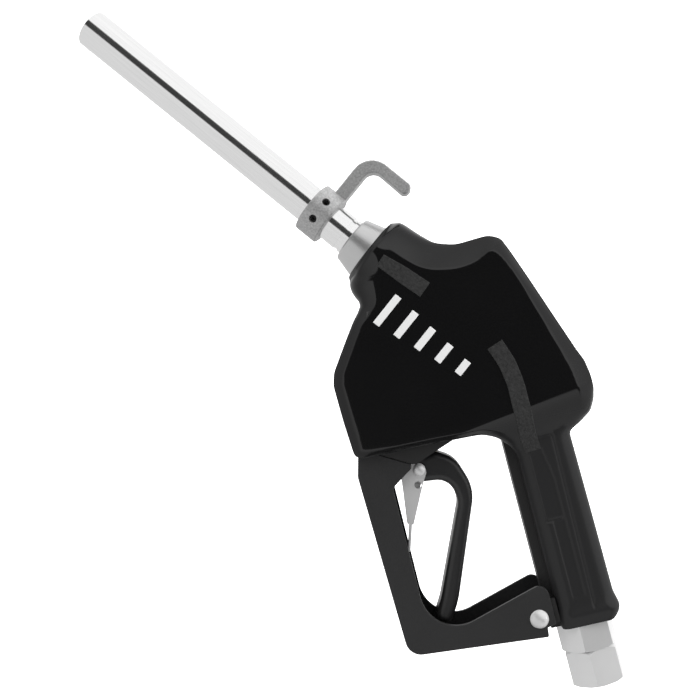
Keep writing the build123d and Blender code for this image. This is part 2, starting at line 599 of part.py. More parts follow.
def build():
    """Every node of the nozzle by name."""
    seat_top = SEAT_D + SEAT_W
    return {
        "body_casting": body_casting(),
        "body_cover": body_cover(),
        "spout_adapter": spout_adapter(),
        "spout_tube": spout_tube(),
        "spout_seals": spout_seals(),
        "vent_tube": vent_tube(),
        "hook_collar": hook_collar(),
        "collar_set_screws": set_screws(),
        "check_guide": check_guide(),
        "check_poppet": check_poppet(),
        "check_spring": coil(SPOUT, -CHECK_SEAT_T + 3.0, -GUIDE_T - GUIDE_W, 5.5, 0.6, 5),
        "valve_seat_ring": seat_ring(),
        "main_poppet": main_poppet(),
        "poppet_seal": poppet_seal(),
        "main_spring": coil(
            VALVE, seat_top + POPPET_T + 2.0, UPPER_D1 + CAP_POCKET, MAIN_SPRING_R, SPRING_WIRE,
            MAIN_SPRING_TURNS
        ),
        "valve_cap": valve_cap(),
        "cap_seal": cap_seal(),
        "stem_gland": stem_gland(),
        "latch_plunger": latch_plunger(),
        "plunger_bush": plunger_bush(),
        "plunger_spring": coil(LATCH, BUSH_D1, 44.0, 6.6, 0.6, 6),
        "diaphragm": diaphragm(),
        "latch_pin": latch_pin(),
        "diaphragm_spring": coil(
            LATCH, DIAPHRAGM_D + DIAPHRAGM_T + 1.2, DIAPHRAGM_D + DIAPHRAGM_T + 11.0, 5.5, 0.6, 5
        ),
        "diaphragm_cap": diaphragm_cap(),
        "lever_guard": lever_guard(),
        "guard_rivet": guard_rivet(),
        "lever": lever(),
        "lever_pin": lever_pin(),
        "hold_open_clip": hold_open_clip(),
        "inlet_adapter": inlet_adapter(),
        "inlet_strainer": inlet_strainer(),
        "swivel_nut": swivel_nut(),
        "swivel_ring": swivel_ring(),
        "swivel_seal": tube(HOSE, 16.6, 18.6, SPIGOT_R, SPIGOT_R - 1.5),
        "hose_washer": tube(HOSE, HOSE_DEPTH - WASHER_T, HOSE_DEPTH, WASHER_R, 8.0),
    }


for node, shape in build().items():
    export_step(shape, "parts/" + node + ".step")
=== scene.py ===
"""Fuel nozzle: the soft cover, its textured pads and marks, finishes for the metal, and the studio."""
import math

import bpy
import numpy as np
from mathutils import Matrix, Vector


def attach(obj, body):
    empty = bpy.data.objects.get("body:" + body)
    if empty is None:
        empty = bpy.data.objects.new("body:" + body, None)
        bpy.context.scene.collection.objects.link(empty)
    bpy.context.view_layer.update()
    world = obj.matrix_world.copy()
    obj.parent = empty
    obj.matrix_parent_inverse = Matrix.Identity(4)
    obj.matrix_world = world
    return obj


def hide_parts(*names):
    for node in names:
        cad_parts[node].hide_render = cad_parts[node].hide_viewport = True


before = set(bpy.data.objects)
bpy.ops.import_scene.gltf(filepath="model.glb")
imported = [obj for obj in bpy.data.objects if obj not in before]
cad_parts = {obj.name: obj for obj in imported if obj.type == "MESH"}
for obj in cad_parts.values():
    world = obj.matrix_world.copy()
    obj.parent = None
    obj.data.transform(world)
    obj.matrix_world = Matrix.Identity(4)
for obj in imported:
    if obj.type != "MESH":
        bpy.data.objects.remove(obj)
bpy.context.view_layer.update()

bl_info = {
    "name": "Fuel nozzle",
    "version": (1, 0, 0),
    "blender": (4, 5, 0),
    "location": "View3D > Sidebar > Nozzle",
    "description": "Builds the soft cover, the finishes and the studio round a packed fuel nozzle",
    "category": "Object",
}

MM = 0.001
NOZZLE = "nozzle"
SPOUT_FOOT = np.array([-79.1, 300.7])
SPOUT_DIR = np.array([-0.592, 0.806])
ACROSS_DIR = np.array([0.806, 0.592])

# Rungs of the cover, foot to nose: left x, left z, right x, right z, and for each side the shoulder's
# width and depth in millimetres. The cover is swept along them.
RUNGS = np.array([
    [-14.8, 38.4, 16.6, 37.8, 3.0, 3.0, 3.0, 3.0],
    [-15.4, 40.5, 21.0, 40.8, 6.0, 6.0, 7.0, 7.0],
    [-15.5, 44.5, 22.4, 45.0, 8.0, 8.0, 9.0, 9.0],
    [-15.0, 50.0, 20.6, 52.5, 8.0, 8.0, 9.0, 9.0],
    [-14.9, 100.0, 20.2, 100.0, 8.0, 8.0, 9.0, 9.0],
    [-14.8, 146.0, 19.6, 152.2, 8.0, 8.0, 9.0, 9.0],
    [-17.5, 152.5, 27.5, 156.3, 6.0, 6.0, 8.0, 8.0],
    [-24.5, 160.0, 34.8, 161.2, 4.0, 5.0, 7.5, 8.0],
    [-33.0, 164.3, 37.6, 168.0, 3.5, 4.5, 8.5, 8.0],
    [-60.0, 166.2, 38.6, 175.0, 3.5, 4.5, 10.0, 8.0],
    [-85.0, 167.2, 38.3, 184.0, 3.5, 4.5, 10.5, 8.0],
    [-107.2, 168.2, 37.0, 192.5, 4.0, 5.0, 10.0, 8.0],
    [-110.0, 171.0, 34.6, 198.0, 5.5, 6.0, 9.0, 8.0],
    [-111.3, 192.0, 27.2, 219.5, 6.0, 7.0, 7.5, 8.0],
    [-111.8, 214.5, 20.0, 240.5, 6.0, 7.0, 6.2, 7.5],
    [-109.6, 222.0, 14.8, 255.5, 6.0, 7.0, 5.6, 7.5],
    [-98.5, 238.0, 10.8, 267.0, 6.0, 7.0, 6.5, 8.0],
    [-90.2, 249.6, 7.6, 275.4, 6.0, 8.0, 9.0, 9.5],
    [-86.9, 253.4, 1.0, 279.2, 7.0, 9.5, 13.0, 11.5],
    [-84.2, 257.6, -19.0, 279.0, 9.5, 12.0, 15.5, 14.0],
    [-84.6, 261.0, -31.0, 283.6, 12.0, 14.5, 18.5, 17.0],
    [-86.6, 265.0, -38.6, 291.4, 14.5, 17.0, 19.0, 19.0],
    [-87.6, 269.0, -44.0, 297.8, 16.5, 19.0, 19.5, 20.0],
    [-87.3, 273.0, -47.4, 301.6, 18.0, 20.0, 20.0, 20.5],
    [-84.9, 277.6, -52.8, 302.9, 19.0, 20.5, 19.5, 20.5],
])

# Half thickness of the cover in millimetres, and the sloping band that joins grip and body. The band's
# lines rise a little towards the back.
BODY_HALF, GRIP_HALF, NOSE_HALF, MOUTH_HALF = 29.5, 17.5, 27.6, 24.5
BAND_TILT, BAND_FOOT, BAND_RISE = 0.13, 154.0, 20.5

# Foot and relief of the grip.
FOOT_ROLL, FOOT_ROLL_Z, FOOT_ROLL_REACH = 1.5, 45.0, 4.0
RECESS_DEPTH, RECESS_FOOT, RECESS_TOP, RECESS_EDGE = 0.45, 54.0, 150.0, 1.2
CREASE_DEPTH, CREASE_X, CREASE_LEAN, CREASE_FOOT = 0.5, 8.0, 0.0150, 46.0
STEP_DEPTH, STEP_Z = 0.5, 154.3
SLIT_DEPTH, SLIT_Z = 0.9, 103.5

# Share of straight bevel in the body's rims, and the distance over which rim sizes are averaged.
BODY_CRISP, RIM_BLEND = 0.8, 1.6

# Grained pads: name, middle line in the side view from nose to grip, and widths along it.
PADS = (
    ("upper", [(-65.6, 280.3), (-56.6, 270.4), (-44.2, 256.0)], [8.2, 10.2, 10.4], 110),
    ("lower", [(-12.7, 214.6), (-8.3, 201.8), (-6.6, 189.0), (-6.8, 176.0), (-6.4, 162.0), (-5.6, 146.6)],
     [10.4, 10.4, 10.3, 10.6, 10.4, 10.4], 190),
)

# Printed bars: place along the row and length, with the row's start, its direction and the bars' own.
BARS = ((0.0, 22.0), (14.0, 19.0), (28.0, 16.0), (42.0, 13.0), (56.0, 10.0))
BAR_WIDTH, BAR_LIFT, BAR_SINK = 5.0, 0.12, 0.3
BAR_START, BAR_RUN, BAR_LEAN = np.array([-69.0, 250.0]), np.array([0.62, -0.785]), np.array([0.80, 0.60])

SPOUT_LEAN = (0, math.radians(36.3), 0)
SIDES = ((-1, "near"), (1, "far"))


class NozzleSettings(bpy.types.PropertyGroup):
    """Sizes and colours a user would change."""

    cover_colour: bpy.props.FloatVectorProperty(
        name="Cover colour", description="Colour of the soft cover", subtype="COLOR", size=3,
        default=(0.0042, 0.0042, 0.0044), min=0, max=1)
    cover_roughness: bpy.props.FloatProperty(
        name="Cover roughness", description="Roughness of the soft cover", default=0.16, min=0, max=1)
    mark_colour: bpy.props.FloatVectorProperty(
        name="Mark colour", description="Colour of the printed bars", subtype="COLOR", size=3,
        default=(0.85, 0.85, 0.85), min=0, max=1)
    pad_lift: bpy.props.FloatProperty(
        name="Pad lift", description="How far the grained pads stand off the cover, in millimetres",
        default=0.35, min=0.05, max=1.0)
    stations: bpy.props.IntProperty(
        name="Stations", description="Sections swept along the cover", default=400, min=80, max=400)
    spout_roughness: bpy.props.FloatProperty(
        name="Spout roughness", description="Roughness of the polished spout", default=0.13, min=0, max=1)
    backdrop_light: bpy.props.FloatProperty(
        name="Backdrop light", description="Brightness of the pale backdrop", default=1.05, min=0, max=5)


def settings():
    """The scene's nozzle settings."""
    return bpy.context.scene.nozzle


# Shapes

def ease(q):
    """Smooth step: 3q^2 - 2q^3 with q held between 0 and 1."""
    q = np.clip(q, 0.0, 1.0)
    return q * q * (3.0 - 2.0 * q)


def bell(value, middle, reach):
    """Bell curve exp(-((value - middle) / reach)^2), which is 1 at its middle."""
    return np.exp(-((value - middle) / reach) ** 2)


def along_spout(x, z):
    """Distance along the spout from its foot, negative inside the cover."""
    return (x - SPOUT_FOOT[0]) * SPOUT_DIR[0] + (z - SPOUT_FOOT[1]) * SPOUT_DIR[1]


def above_band(x, z):
    """Height above the foot of the sloping band."""
    return z - BAND_TILT * x - BAND_FOOT


def smooth_rows(rows, width):
    """Moving average along the first axis with the ends held, applied twice."""
    kernel = np.ones(width) / width
    reach = width // 2
    for _ in range(2):
        before = 2 * rows[:1] - rows[reach:0:-1]
        after = 2 * rows[-1:] - rows[-2:-2 - reach:-1]
        padded = np.vstack([before, rows, after])
        rows = np.stack([np.convolve(padded[:, k], kernel, "valid") for k in range(rows.shape[1])], 1)
    return rows


def rungs(count):
    """RUNGS resampled evenly by the mean distance its two ends travel, with softened corners."""
    left, right = RUNGS[:, :2], RUNGS[:, 2:4]
    step = np.linalg.norm(np.diff(left, axis=0), axis=1) + np.linalg.norm(np.diff(right, axis=0), axis=1)
    key = np.concatenate([[0.0], np.cumsum(step)])
    at = np.linspace(0.0, key[-1], count)
    rows = np.stack([np.interp(at, key, RUNGS[:, k]) for k in range(RUNGS.shape[1])], 1)
    return smooth_rows(rows, max(3, count // 150 * 2 + 1))


def bands(x, z):
    """Thickness field: grip half width rising to the body's over a sloping band, less towards the nose's
    mouth, more at the rolled foot, and cut by the grip's relief."""
    climb = above_band(x, z) / BAND_RISE
    half = GRIP_HALF + (BODY_HALF - GRIP_HALF) * (0.4 * np.clip(climb, 0.0, 1.0) + 0.6 * ease(climb))
    along = along_spout(x, z)
    half = half - (BODY_HALF - NOSE_HALF) * ease((along + 62.0) / 26.0)
    half = half - (NOSE_HALF - MOUTH_HALF) * ease((along + 18.5) / 4.0)
    half = half + FOOT_ROLL * bell(z, FOOT_ROLL_Z, FOOT_ROLL_REACH)
    return half - grip_relief(x, z)


def grip_relief(x, z):
    """Depth cut into the grip: a shallow recess that is narrower below the slit, a long leaning crease, a
    short step across its top, and the slit."""
    low = z < SLIT_Z - 1.0
    left = np.where(low, -5.3, -8.6)
    right = np.where(low, 3.6, 3.4 - 3.0 * ease((z - 125.0) / 25.0))
    recess = ease((x - left) / RECESS_EDGE) * ease((right - x) / RECESS_EDGE)
    recess = recess * ease((z - RECESS_FOOT) / 3.0) * ease((RECESS_TOP - z) / 6.0)
    crease = bell(x, CREASE_X - (152.0 - z) * CREASE_LEAN, 0.8)
    crease = crease * ease((z - CREASE_FOOT) / 4.0) * ease((STEP_Z + 0.2 - z) / 2.0)
    step = bell(z, STEP_Z, 0.7) * ease((x + 0.4) / 1.0) * ease((8.6 - x) / 1.0)
    slit = bell(z, SLIT_Z, 0.55) * ease((x + 9.2) / 0.8) * ease((1.6 - x) / 0.8)
    return RECESS_DEPTH * recess + CREASE_DEPTH * crease + STEP_DEPTH * step + SLIT_DEPTH * slit


def shoulder(distance, width, depth, crisp):
    """How far the rim falls in: q is one less the distance over the width, and the fall is the depth times
    a mix of the straight bevel q and the round 1 - sqrt(1 - q^2), with the given share of bevel."""
    q = np.clip(1.0 - distance / width, 0.0, 1.0)
    return depth * (crisp * q + (1.0 - crisp) * (1.0 - np.sqrt(1.0 - q * q)))


def half_thickness(x, z, rows, chunk=8000):
    """Half thickness at points of the side view: the field less the shoulder, whose width and depth are
    averaged over the rim points about as near as the nearest one. Points are taken a chunk at a time."""
    rim = np.concatenate([rows[:, :2], rows[:, 2:4]])
    sizes = np.concatenate([rows[:, 4:6], rows[:, 6:8]])
    flat = np.stack([np.ravel(x), np.ravel(z)], 1)
    distance, local = np.empty(len(flat)), np.empty((len(flat), 2))
    for start in range(0, len(flat), chunk):
        part = flat[start:start + chunk]
        gap = np.sqrt(((part[:, None, :] - rim[None]) ** 2).sum(2))
        near = gap.min(1)
        weight = np.exp((near[:, None] - gap) / RIM_BLEND)
        local[start:start + chunk] = weight @ sizes / weight.sum(1, keepdims=True)
        distance[start:start + chunk] = near
    on_body = ease((above_band(flat[:, 0], flat[:, 1]) - 6.0) / 12.0)
    on_nose = ease((along_spout(flat[:, 0], flat[:, 1]) + 50.0) / 22.0)
    crisp = BODY_CRISP * on_body * (1.0 - 0.75 * on_nose)
    fall = shoulder(distance, local[:, 0], local[:, 1], crisp)
    return (bands(flat[:, 0], flat[:, 1]) - fall).reshape(np.shape(x))


def blur(field):
    """Averages a grid with its four neighbours, half the weight on the point itself, the ends held."""
    f = np.pad(field, 1, mode="edge")
    return (4 * f[1:-1, 1:-1] + f[:-2, 1:-1] + f[2:, 1:-1] + f[1:-1, :-2] + f[1:-1, 2:]) / 8.0


def loops_to_mesh(name, loops):
    """Mesh of closed loops joined in order, both ends closed on a centre point. The loops are an array of
    count by around by 3, in millimetres."""
    count, around = loops.shape[:2]
    points = np.concatenate([loops.reshape(-1, 3), loops[:1].mean(1), loops[-1:].mean(1)]) * MM
    j = np.arange(around)
    k = (j + 1) % around
    base = np.arange(count - 1)[:, None] * around
    quads = np.stack([base + j, base + k, base + around + k, base + around + j], 2).reshape(-1, 4)
    first, last = count * around, count * around + 1
    top = (count - 1) * around
    fan0 = np.stack([np.full(around, first), k, j], 1)
    fan1 = np.stack([np.full(around, last), top + j, top + k], 1)
    return solid_mesh(name, points, quads.tolist() + fan0.tolist() + fan1.tolist())


def solid_mesh(name, points, faces):
    """Closed smooth-shaded object with its normals turned outwards."""
    mesh = bpy.data.meshes.new(name)
    mesh.from_pydata(np.asarray(points).tolist(), [], faces)
    obj = bpy.data.objects.new(name, mesh)
    bpy.context.collection.objects.link(obj)
    if signed_volume(mesh) < 0:
        mesh.flip_normals()
    mesh.shade_smooth()
    return obj


def signed_volume(mesh):
    """Volume from the loop triangles, negative when the faces point inwards."""
    mesh.calc_loop_triangles()
    co = np.empty(len(mesh.vertices) * 3)
    mesh.vertices.foreach_get("co", co)
    tri = np.empty(len(mesh.loop_triangles) * 3, int)
    mesh.loop_triangles.foreach_get("vertices", tri)
    a, b, c = co.reshape(-1, 3)[tri.reshape(-1, 3)].transpose(1, 0, 2)
    return float((a * np.cross(b, c)).sum())


def cover_loops(count, across=112, wall=5):
    """Cover sections: over each rung the half thickness on one side, the rim wall, and the mirror of both.
    The places across a rung crowd towards its ends, and its edge points drop a little past the next ones."""
    rows = rungs(count)
    left, right = rows[:, None, :2], rows[:, None, 2:4]
    even = np.linspace(0.0, 1.0, across)
    s = (0.55 * even + 0.45 * (0.5 - 0.5 * np.cos(math.pi * even)))[None, :, None]
    flat = left + (right - left) * s
    y = blur(half_thickness(flat[..., 0], flat[..., 1], rows))
    y[:, 0] = y[:, 1] - (y[:, 2] - y[:, 1]) * 0.6
    y[:, -1] = y[:, -2] - (y[:, -3] - y[:, -2]) * 0.6
    front = np.stack([flat[..., 0], -y, flat[..., 1]], 2)
    back = np.stack([flat[..., 0], y, flat[..., 1]], 2)[:, ::-1]
    step = (np.arange(1, wall + 1) / (wall + 1))[None, :, None]
    end_r = front[:, -1:] + (back[:, :1] - front[:, -1:]) * step
    end_l = back[:, -1:] + (front[:, :1] - back[:, -1:]) * step
    loops = np.concatenate([front, end_r, back, end_l], 1)
    middle = loops.mean(1, keepdims=True)
    foot = middle[:1] + (loops[:1] - middle[:1]) * 0.75
    nose = middle[-1:] + (loops[-1:] - middle[-1:]) * 0.8
    return np.concatenate([foot, loops, nose])


def patch(name, x, z, rows, side, lift, sink=0.6):
    """Thin closed pad on one side of the cover: the cover's half thickness plus a lift over a grid of
    side-view points, its rim turned down into the cover."""
    y = half_thickness(x, z, rows)
    rim = np.ones_like(y)
    rim[1:-1, 1:-1] = 0.0
    top = np.stack([x, side * (y + lift * (1 - rim) - 0.1 * rim), z], 2)
    low = np.stack([x, side * (y - sink), z], 2)
    n, m = y.shape
    points = np.concatenate([top.reshape(-1, 3), low.reshape(-1, 3)]) * MM
    i, j = np.meshgrid(np.arange(n - 1), np.arange(m - 1), indexing="ij")
    a = (i * m + j).ravel()
    upper = np.stack([a, a + 1, a + m + 1, a + m], 1)
    lower = (upper + n * m)[:, ::-1]
    far_row = (n - 1) * m + np.arange(m - 2, -1, -1)
    edge = np.concatenate([np.arange(m), np.arange(1, n) * m + m - 1, far_row, np.arange(n - 2, 0, -1) * m])
    after = np.roll(edge, -1)
    skirt = np.stack([after, edge, edge + n * m, after + n * m], 1)
    return solid_mesh(name, points, np.concatenate([upper, lower, skirt]).tolist())


def ribbon(path, width, count, across):
    """Grid of side-view points of a band: a line through the given points, with the width laid across it."""
    path = np.asarray(path, float)
    key = np.concatenate([[0.0], np.cumsum(np.linalg.norm(np.diff(path, axis=0), axis=1))])
    at = np.linspace(0.0, key[-1], count)
    line = smooth_rows(np.stack([np.interp(at, key, path[:, 0]), np.interp(at, key, path[:, 1])], 1), 15)
    run = np.gradient(line, axis=0)
    run /= np.linalg.norm(run, axis=1, keepdims=True)
    side = np.stack([run[:, 1], -run[:, 0]], 1)
    wide = np.interp(at, np.linspace(0.0, key[-1], len(width)), width)
    w = np.linspace(-0.5, 0.5, across)[None, :, None] * wide[:, None, None]
    grid = line[:, None, :] + side[:, None, :] * w
    return grid[..., 0], grid[..., 1]


# Materials

def effect_group(name, detail, stretch):
    """Node group: fine noise, stretched along one axis, for roughness and height, and broad noise for
    handling marks."""
    tree = bpy.data.node_groups.new(name, "ShaderNodeTree")
    for label, kind, default in (
        ("Vector", "NodeSocketVector", None), ("Scale", "NodeSocketFloat", 900.0),
        ("Roughness", "NodeSocketFloat", 0.4), ("Variation", "NodeSocketFloat", 0.1),
    ):
        socket = tree.interface.new_socket(label, in_out="INPUT", socket_type=kind)
        if default is not None:
            socket.default_value = default
    tree.interface.new_socket("Roughness", in_out="OUTPUT", socket_type="NodeSocketFloat")
    tree.interface.new_socket("Height", in_out="OUTPUT", socket_type="NodeSocketFloat")
    tree.interface.new_socket("Marks", in_out="OUTPUT", socket_type="NodeSocketFloat")
    enter, leave = tree.nodes.new("NodeGroupInput"), tree.nodes.new("NodeGroupOutput")
    turn = tree.nodes.new("ShaderNodeMapping")
    turn.inputs["Scale"].default_value = stretch
    fine, broad = tree.nodes.new("ShaderNodeTexNoise"), tree.nodes.new("ShaderNodeTexNoise")
    fine.inputs["Detail"].default_value = detail
    broad.inputs["Scale"].default_value = 28.0
    broad.inputs["Detail"].default_value = 5.0
    tree.links.new(enter.outputs["Vector"], turn.inputs["Vector"])
    tree.links.new(turn.outputs["Vector"], fine.inputs["Vector"])
    tree.links.new(enter.outputs["Scale"], fine.inputs["Scale"])
    tree.links.new(enter.outputs["Vector"], broad.inputs["Vector"])
    both = math_node(tree, "ADD", fine.outputs["Fac"], broad.outputs["Fac"])
    centred = math_node(tree, "SUBTRACT", both, 1.0)
    swing = math_node(tree, "MULTIPLY", centred, enter.outputs["Variation"])
    total = math_node(tree, "ADD", swing, enter.outputs["Roughness"])
    tree.links.new(total, leave.inputs["Roughness"])
    tree.links.new(fine.outputs["Fac"], leave.inputs["Height"])
    tree.links.new(broad.outputs["Fac"], leave.inputs["Marks"])
    return tree


def math_node(tree, operation, a, b):
    """Math node on two sockets or numbers; returns its output."""
    node = tree.nodes.new("ShaderNodeMath")
    node.operation = operation
    for socket, value in zip(node.inputs, (a, b)):
        if isinstance(value, (int, float)):
            socket.default_value = value
        else:
            tree.links.new(value, socket)
    return node.outputs[0]


def mixed(tree, fac, low, high):
    """Colour between two others by a factor socket. Each of the two is a colour or a socket."""
    node = tree.nodes.new("ShaderNodeMix")
    node.data_type = "RGBA"
    tree.links.new(fac, node.inputs["Factor"])
    for key, colour in (("A", low), ("B", high)):
        if isinstance(colour, tuple):
            node.inputs[key].default_value = (*colour, 1)
        else:
            tree.links.new(colour, node.inputs[key])
    return node.outputs["Result"]


def grey(level, blue=0.0):
    """Grey of a level, with a little more blue if asked."""
    return (level, level, level + blue)


def finish(name, group, low, high, roughness, metallic=0.0, scale=900.0, variation=0.1, bump=0.05,
           reach=0.0002, turn=(0, 0, 0), tint="Marks", **shader):
    """Principled finish: colour from low to high by handling marks or fine noise, roughness and bump from a
    shared group."""
    material = bpy.data.materials.new(name)
    material.use_nodes = True
    tree = material.node_tree
    body = tree.nodes["Principled BSDF"]
    place = tree.nodes.new("ShaderNodeTexCoord")
    mapping = tree.nodes.new("ShaderNodeMapping")
    mapping.inputs["Rotation"].default_value = turn
    effect = tree.nodes.new("ShaderNodeGroup")
    effect.node_tree = bpy.data.node_groups[group]
    effect.inputs["Scale"].default_value = scale
    effect.inputs["Roughness"].default_value = roughness
    effect.inputs["Variation"].default_value = variation
    tree.links.new(place.outputs["Object"], mapping.inputs["Vector"])
    tree.links.new(mapping.outputs["Vector"], effect.inputs["Vector"])
    tree.links.new(effect.outputs["Roughness"], body.inputs["Roughness"])
    tree.links.new(mixed(tree, effect.outputs[tint], low, high), body.inputs["Base Color"])
    relief = tree.nodes.new("ShaderNodeBump")
    relief.inputs["Strength"].default_value = bump
    relief.inputs["Distance"].default_value = reach
    tree.links.new(effect.outputs["Height"], relief.inputs["Height"])
    tree.links.new(relief.outputs["Normal"], body.inputs["Normal"])
    body.inputs["Metallic"].default_value = metallic
    for key, value in shader.items():
        body.inputs[key.replace("_", " ")].default_value = value
    return material


def cover_finish():
    """Cover vinyl: glossy panels whose coat fades where the surface turns away, and a rougher grip whose
    colour is made paler as a painted sheen.
    """
    s = settings()
    base = tuple(s.cover_colour)
    material = finish("soft vinyl", "grain", base, tuple(c * 1.5 for c in base), s.cover_roughness,
                      scale=1400.0, variation=0.04, bump=0.03, reach=0.00015, Specular_IOR_Level=0.12,
                      Coat_Roughness=0.14, Coat_IOR=1.45)
    tree = material.node_tree
    body = tree.nodes["Principled BSDF"]
    parts = tree.nodes.new("ShaderNodeSeparateXYZ")
    tree.links.new(tree.nodes["Texture Coordinate"].outputs["Object"], parts.inputs[0])
    grip = ranged(tree, parts.outputs["Z"], 0.175, 0.148, 0.0, 1.0)
    plain = body.inputs["Roughness"].links[0].from_socket
    rougher = math_node(tree, "MULTIPLY", grip, 0.34)
    tree.links.new(math_node(tree, "ADD", plain, rougher), body.inputs["Roughness"])
    panel = body.inputs["Base Color"].links[0].from_socket
    # Painted sheen: the grip's colour is lifted towards a paler grey to stand in for the light its surface
    # gives back.
    tree.links.new(mixed(tree, grip, panel, grey(0.021, 0.0005)), body.inputs["Base Color"])
    view = tree.nodes.new("ShaderNodeLayerWeight")
    view.inputs["Blend"].default_value = 0.5
    sheen = ranged(tree, view.outputs["Facing"], 0.02, 0.45, 1.0, 0.12)
    glossy = math_node(tree, "SUBTRACT", 1.0, math_node(tree, "MULTIPLY", grip, 0.7))
    tree.links.new(math_node(tree, "MULTIPLY", sheen, glossy), body.inputs["Coat Weight"])
    return material


def paint(obj, material):
    """Gives an object one material."""
    obj.data.materials.clear()
    obj.data.materials.append(material)
    return obj


def paint_nodes(material, *names):
    """Gives CAD nodes one material."""
    for name in names:
        paint(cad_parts[name], material)


# Operators

class NOZZLE_OT_effects(bpy.types.Operator):
    """Make the shared surface effects"""

    bl_idname = "nozzle.effects"
    bl_label = "Surface effects"

    def execute(self, context):
        effect_group("grain", 3.0, (1, 1, 1))
        effect_group("drawn", 4.0, (1, 1, 0.02))
        effect_group("turned", 4.0, (0.04, 0.04, 1))
        effect_group("around", 4.0, (0.05, 0.05, 1))
        return {"FINISHED"}


class NOZZLE_OT_cover(bpy.types.Operator):
    """Build the soft cover in place of the plain one"""

    bl_idname = "nozzle.cover"
    bl_label = "Soft cover"

    def execute(self, context):
        cover = loops_to_mesh("cover_shell", cover_loops(settings().stations))
        paint(cover, cover_finish())
        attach(cover, NOZZLE)
        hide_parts("body_cover")
        return {"FINISHED"}


class NOZZLE_OT_pads(bpy.types.Operator):
    """Build the grained pads on both sides of the cover"""

    bl_idname = "nozzle.pads"
    bl_label = "Grained pads"

    def execute(self, context):
        rows = rungs(settings().stations)
        grain = finish("grained vinyl", "grain", grey(0.0), grey(0.046), 0.75, scale=620.0, variation=0.25,
                       bump=1.0, reach=0.0010, tint="Height")
        for label, line, widths, count in PADS:
            x, z = ribbon(line, widths, count, 30)
            for side, where in SIDES:
                pad = patch("pad_" + label + "_" + where, x, z, rows, side, settings().pad_lift)
                paint(pad, grain)
                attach(pad, NOZZLE)
        return {"FINISHED"}


class NOZZLE_OT_marks(bpy.types.Operator):
    """Build plain printed bars on both sides of the cover"""

    bl_idname = "nozzle.marks"
    bl_label = "Printed bars"

    def execute(self, context):
        rows = rungs(settings().stations)
        ink = finish("print", "grain", tuple(settings().mark_colour), grey(0.9), 0.45, scale=600.0, bump=0.02)
        for number, (at, length) in enumerate(BARS):
            middle = BAR_START + BAR_RUN * at
            half = BAR_LEAN * length / 2
            x, z = ribbon([middle - half, middle, middle + half], [BAR_WIDTH] * 3, 40, 10)
            for side, where in SIDES:
                bar = patch("bar_%d_%s" % (number, where), x, z, rows, side, BAR_LIFT, BAR_SINK)
                paint(bar, ink)
                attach(bar, NOZZLE)
        return {"FINISHED"}


class NOZZLE_OT_metal(bpy.types.Operator):
    """Give the metal pieces their finishes"""

    bl_idname = "nozzle.metal"
    bl_label = "Metal finishes"

    def execute(self, context):
        spout = finish("polished tube", "drawn", grey(0.78), grey(0.96), settings().spout_roughness, 1.0,
                       scale=1500.0, variation=0.10, bump=0.05, reach=0.00005, turn=SPOUT_LEAN, tint="Height")
        cast = finish("satin casting", "around", grey(0.50), grey(0.66), 0.32, 0.8, scale=1100.0,
                      variation=0.14, bump=0.12, reach=0.0001, turn=SPOUT_LEAN)
        hook = finish("cast hook", "grain", grey(0.18), grey(0.66), 0.42, 0.55, scale=900.0,
                      variation=0.2, bump=0.45, reach=0.0003, tint="Height")
        nickel = finish("satin nickel", "turned", grey(0.70), grey(0.84), 0.30, 0.5, scale=400.0,
                        variation=0.05, bump=0.03, reach=0.0001)
        zinc = finish("zinc plate", "grain", grey(0.62), grey(0.82), 0.32, 0.5, scale=300.0,
                      variation=0.06, bump=0.03, reach=0.0001)
        bright = finish("bright rivet", "grain", grey(0.60), grey(0.80), 0.34, 0.4, scale=500.0,
                        variation=0.1, bump=0.04, reach=0.0001)
        brass = finish("brass", "turned", (0.62, 0.46, 0.20), (0.75, 0.58, 0.28), 0.3, 1.0, bump=0.06)
        steel = finish("spring steel", "drawn", grey(0.45, 0.01), grey(0.6), 0.28, 1.0)
        oxide = finish("black oxide", "grain", grey(0.015, 0.001), grey(0.03), 0.4, 0.6)
        rubber = finish("rubber", "grain", grey(0.012), grey(0.02), 0.65, bump=0.2)
        paint_nodes(spout, "spout_tube")
        paint_nodes(cast, "spout_adapter", "valve_cap", "diaphragm_cap")
        paint_nodes(hook, "hook_collar")
        paint_nodes(nickel, "inlet_adapter", "swivel_nut")
        paint_nodes(zinc, "hold_open_clip", "latch_plunger", "latch_pin")
        paint_nodes(bright, "guard_rivet", "lever_pin")
        paint_nodes(brass, "main_poppet", "check_poppet", "check_guide", "valve_seat_ring", "stem_gland",
                    "plunger_bush", "vent_tube")
        paint_nodes(steel, "main_spring", "check_spring", "plunger_spring", "diaphragm_spring",
                    "swivel_ring", "inlet_strainer")
        paint_nodes(oxide, "collar_set_screws")
        paint_nodes(rubber, "spout_seals", "poppet_seal", "cap_seal", "diaphragm", "swivel_seal",
                    "hose_washer")
        return {"FINISHED"}


class NOZZLE_OT_black_parts(bpy.types.Operator):
    """Give the black castings, guard and lever their finishes"""

    bl_idname = "nozzle.black_parts"
    bl_label = "Black parts"

    def execute(self, context):
        gloss = finish("black enamel", "grain", grey(0.012), grey(0.019), 0.45, scale=500.0,
                       variation=0.08, bump=0.12, reach=0.0003)
        satin = finish("black powder coat", "grain", grey(0.013, 0.0005), grey(0.021, 0.0005), 0.5,
                       scale=1500.0, variation=0.12, bump=0.35)
        lever = finish("black lever", "grain", grey(0.009, 0.0005), grey(0.016, 0.0005), 0.34,
                       scale=1100.0, variation=0.14, bump=0.2)
        paint_nodes(gloss, "body_casting")
        paint_nodes(satin, "lever_guard")
        paint_nodes(lever, "lever")
        return {"FINISHED"}


